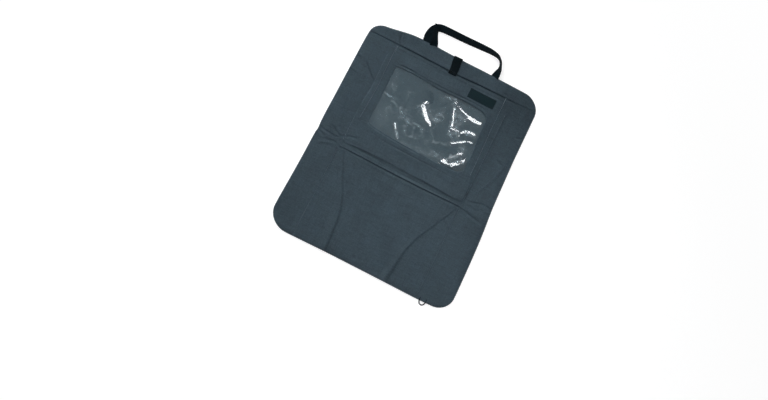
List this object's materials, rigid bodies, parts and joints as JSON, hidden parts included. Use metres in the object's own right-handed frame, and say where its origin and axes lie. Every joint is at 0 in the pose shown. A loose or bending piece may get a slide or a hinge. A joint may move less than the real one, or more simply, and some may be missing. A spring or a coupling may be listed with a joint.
{
  "type": "car seat protector",
  "caption": "Padded fabric mat that hangs on the back of a car seat, with a tablet pocket behind a clear window, a pleated lower pocket and a webbing strap for the headrest.",
  "frame": {"origin": "centre of the mat's back face, which lies against the back of the backrest", "axes": "+Z out of the mat's face towards the rear passenger, +Y along the mat towards the headrest, +X across it, to the right when looking at the face"},
  "size_m": [0.4866, 0.6333, 0.023],
  "materials": {
    "cover_fabric": "fine woven, blue grey",
    "back_fabric": "woven, blue grey",
    "padding": "thin foam sheet",
    "clear_film": "clear film, glossy",
    "webbing": "ribbed black webbing",
    "label": "dark woven, blank",
    "elastic": "braided black elastic cord"
  },
  "bodies": {
    "root": {"back_panel": "back_fabric", "padding": "padding", "front_panel": "cover_fabric", "top_band": "cover_fabric", "pocket_gusset_left": "cover_fabric", "pocket_gusset_right": "cover_fabric", "tablet_pocket_panel": "cover_fabric", "window_film": "clear_film", "blank_label": "label", "lower_pocket": "cover_fabric", "closing_tab": "webbing", "headrest_strap": "webbing", "strap_tail": "webbing", "bottom_loop": "elastic"}
  },
  "joints": []
}
